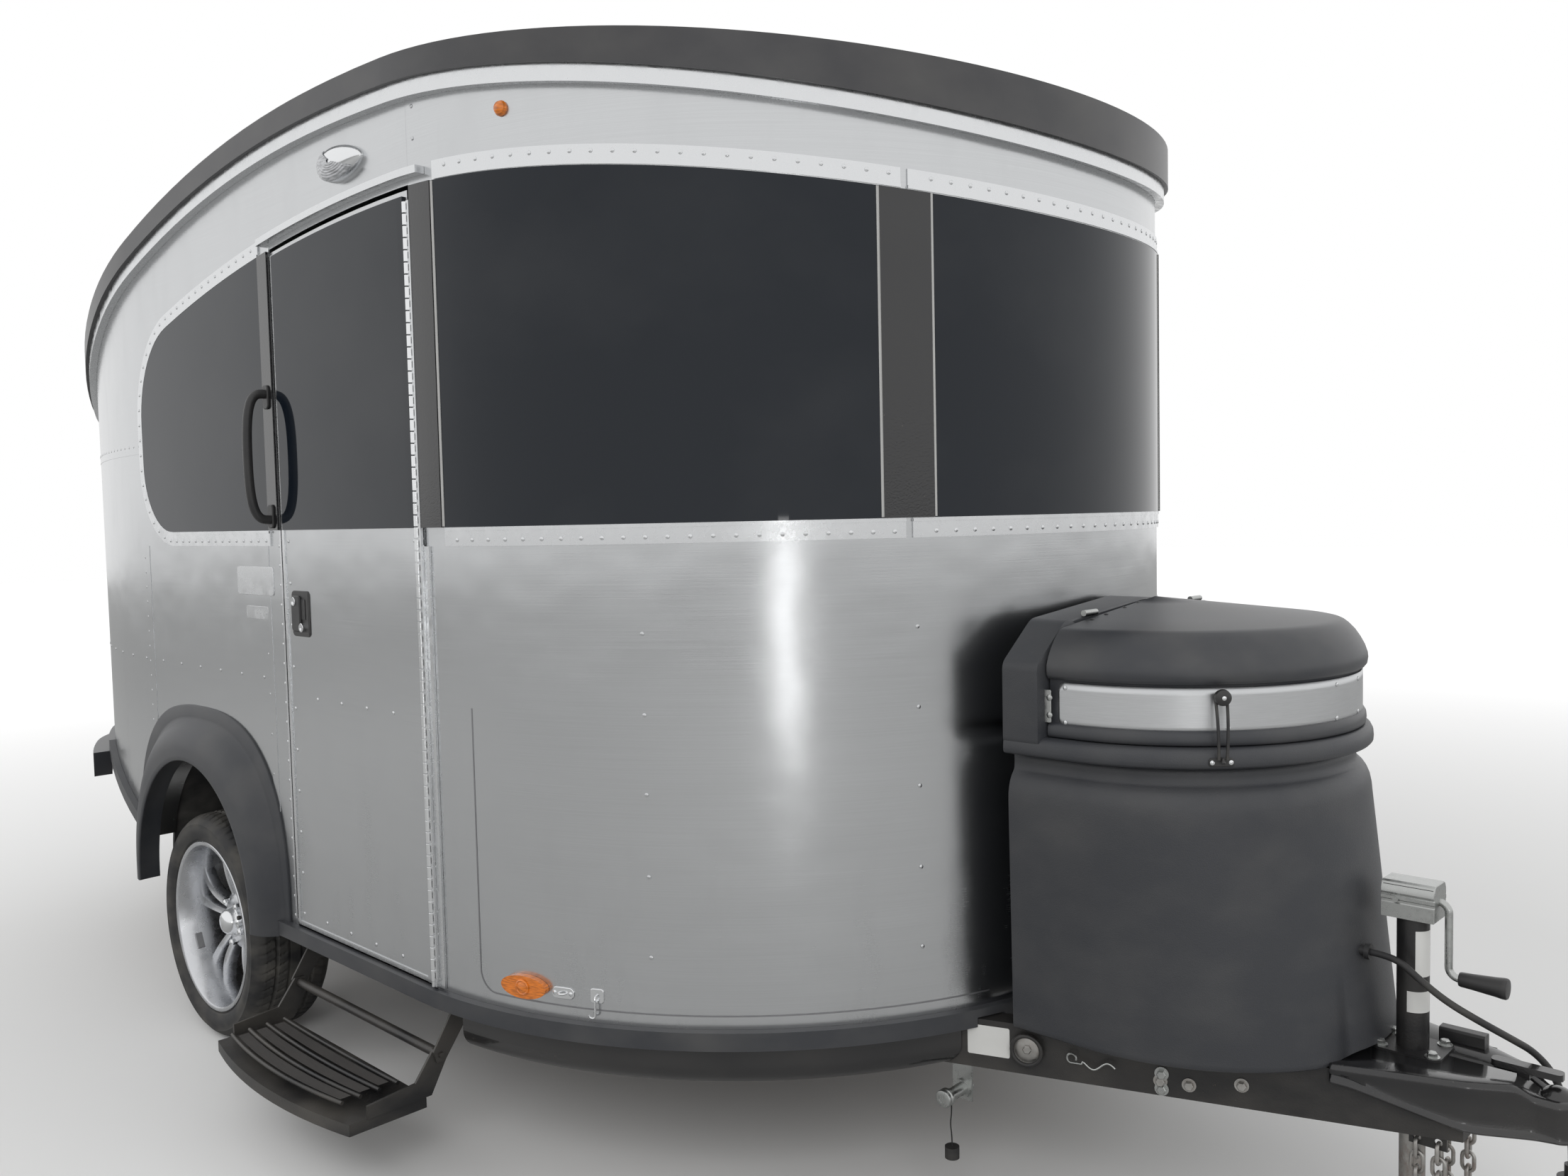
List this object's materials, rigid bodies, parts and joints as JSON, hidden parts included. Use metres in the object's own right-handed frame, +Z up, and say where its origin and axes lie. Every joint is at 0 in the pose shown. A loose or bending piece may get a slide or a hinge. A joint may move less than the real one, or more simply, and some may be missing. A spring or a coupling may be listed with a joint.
{
  "type": "travel caravan",
  "caption": "Small aluminium travel caravan with wrap-round windows, side door, fold-down step, gas bottle cover and tongue jack, towed by its ball coupler.",
  "frame": {"origin": "centre of the hitch ball in the coupler's socket, 390 mm above the ground", "axes": "+X forward to the tow vehicle, +Y to the street side (left), +Z up"},
  "size_m": [4.9, 2.4492, 2.68],
  "materials": {
    "sheet_aluminium": "satin",
    "bright_trim": "polished",
    "roof_shell": "satin",
    "charcoal_moulding": "satin",
    "privacy_glass": "gloss",
    "black_trim": "gloss",
    "frame_paint": "satin",
    "zinc_steel": "satin",
    "wheel_alloy": "satin",
    "tyre_rubber": "matte",
    "black_rubber": "matte",
    "amber_lens": "gloss",
    "red_lens": "gloss",
    "chrome_light": "polished",
    "white_plastic": "satin",
    "bottle_paint": "satin",
    "floor_board": "matte",
    "black_plastic": "satin"
  },
  "bodies": {
    "caravan": {"aircon_shroud": "white_plastic", "axle": "frame_paint", "belt_moulding": "charcoal_moulding", "bottle_tray": "zinc_steel", "breakaway_switch": "black_plastic", "cable_gland": "black_rubber", "cable_plug": "black_plastic", "chassis_frame": "frame_paint", "coupler": "frame_paint", "coupler_latch": "frame_paint", "cover_base": "charcoal_moulding", "door_gutter": "bright_trim", "fenders": "charcoal_moulding", "floor": "floor_board", "front_panes": "privacy_glass", "front_skirt": "charcoal_moulding", "gas_bottles": "bottle_paint", "gas_port": "zinc_steel", "grab_handle": "black_trim", "jack_body": "zinc_steel", "lanyard": "black_rubber", "lanyard_cap": "zinc_steel", "marker_lamps": "amber_lens", "panel_hinges": "bright_trim", "porch_light": "chrome_light", "rear_bumper": "charcoal_moulding", "roof_cap": "roof_shell", "roof_rail": "bright_trim", "roof_vent": "white_plastic", "safety_chains": "zinc_steel", "side_panes": "privacy_glass", "tail_lamps": "red_lens", "trailer_cable": "black_rubber", "wall_curb": "sheet_aluminium", "wall_front": "sheet_aluminium", "wall_rear": "sheet_aluminium", "wall_street": "sheet_aluminium", "wheel_housings": "floor_board", "window_pillars": "black_trim", "window_trim": "bright_trim"},
    "cover_lid": {"cover_latch": "black_rubber", "cover_lid": "charcoal_moulding", "cover_strip": "bright_trim"},
    "door": {"door_glass": "privacy_glass", "door_latch": "black_plastic", "door_panel": "sheet_aluminium"},
    "step": {"entry_step": "frame_paint"},
    "hatch": {"hatch_glass": "privacy_glass", "hatch_panel": "sheet_aluminium"},
    "jack_crank": {"jack_crank": "zinc_steel"},
    "jack_leg": {"jack_leg": "zinc_steel"},
    "rear_leg_curb": {"rear_leg_curb": "frame_paint"},
    "rear_leg_street": {"rear_leg_street": "frame_paint"},
    "wheel_curb": {"rim_curb": "wheel_alloy", "tyre_curb": "tyre_rubber"},
    "wheel_street": {"rim_street": "wheel_alloy", "tyre_street": "tyre_rubber"},
    "roof_vent_lid": {"roof_vent_lid": "black_plastic"}
  },
  "joints": [
    {"name": "wheel_curb_spin", "type": "hinge", "parent": "caravan", "child": "wheel_curb", "pos_m": [-3.14, -0.9755, -0.068], "axis": [0, 1, 0], "continuous": true},
    {"name": "wheel_street_spin", "type": "hinge", "parent": "caravan", "child": "wheel_street", "pos_m": [-3.14, 0.9755, -0.068], "axis": [0, 1, 0], "continuous": true},
    {"name": "door_hinge", "type": "hinge", "parent": "caravan", "child": "door", "pos_m": [-1.926, -1.076, 0.5], "axis": [0, 0, 1], "range_deg": [0, 165]},
    {"name": "hatch_hinge", "type": "hinge", "parent": "caravan", "child": "hatch", "pos_m": [-4.8031, 0, 1.214], "axis": [0, 1, 0], "range_deg": [0, 80]},
    {"name": "cover_lid_hinge", "type": "hinge", "parent": "caravan", "child": "cover_lid", "pos_m": [-0.788, 0, 0.86], "axis": [0, -1, 0], "range_deg": [0, 70]},
    {"name": "step_fold", "type": "hinge", "parent": "caravan", "child": "step", "pos_m": [-2.268, -1.068, -0.104], "axis": [1, 0, 0], "range_deg": [0, 150]},
    {"name": "jack_slide", "type": "slide", "parent": "caravan", "child": "jack_leg", "axis": [0, 0, 1], "range_m": [0, 0.25]},
    {"name": "jack_crank_spin", "type": "hinge", "parent": "caravan", "child": "jack_crank", "pos_m": [-0.2, 0, 0.327], "axis": [1, 0, 0], "continuous": true},
    {"name": "roof_vent_lid_hinge", "type": "hinge", "parent": "caravan", "child": "roof_vent_lid", "pos_m": [-3.28675, 0, 2.04885], "axis": [0, -1, 0], "range_deg": [0, 60]},
    {"name": "rear_leg_curb_hinge", "type": "hinge", "parent": "caravan", "child": "rear_leg_curb", "pos_m": [-4.64, -0.52, 0.2], "axis": [0, 1, 0], "range_deg": [0, 90]},
    {"name": "rear_leg_street_hinge", "type": "hinge", "parent": "caravan", "child": "rear_leg_street", "pos_m": [-4.64, 0.52, 0.2], "axis": [0, 1, 0], "range_deg": [0, 90]}
  ]
}
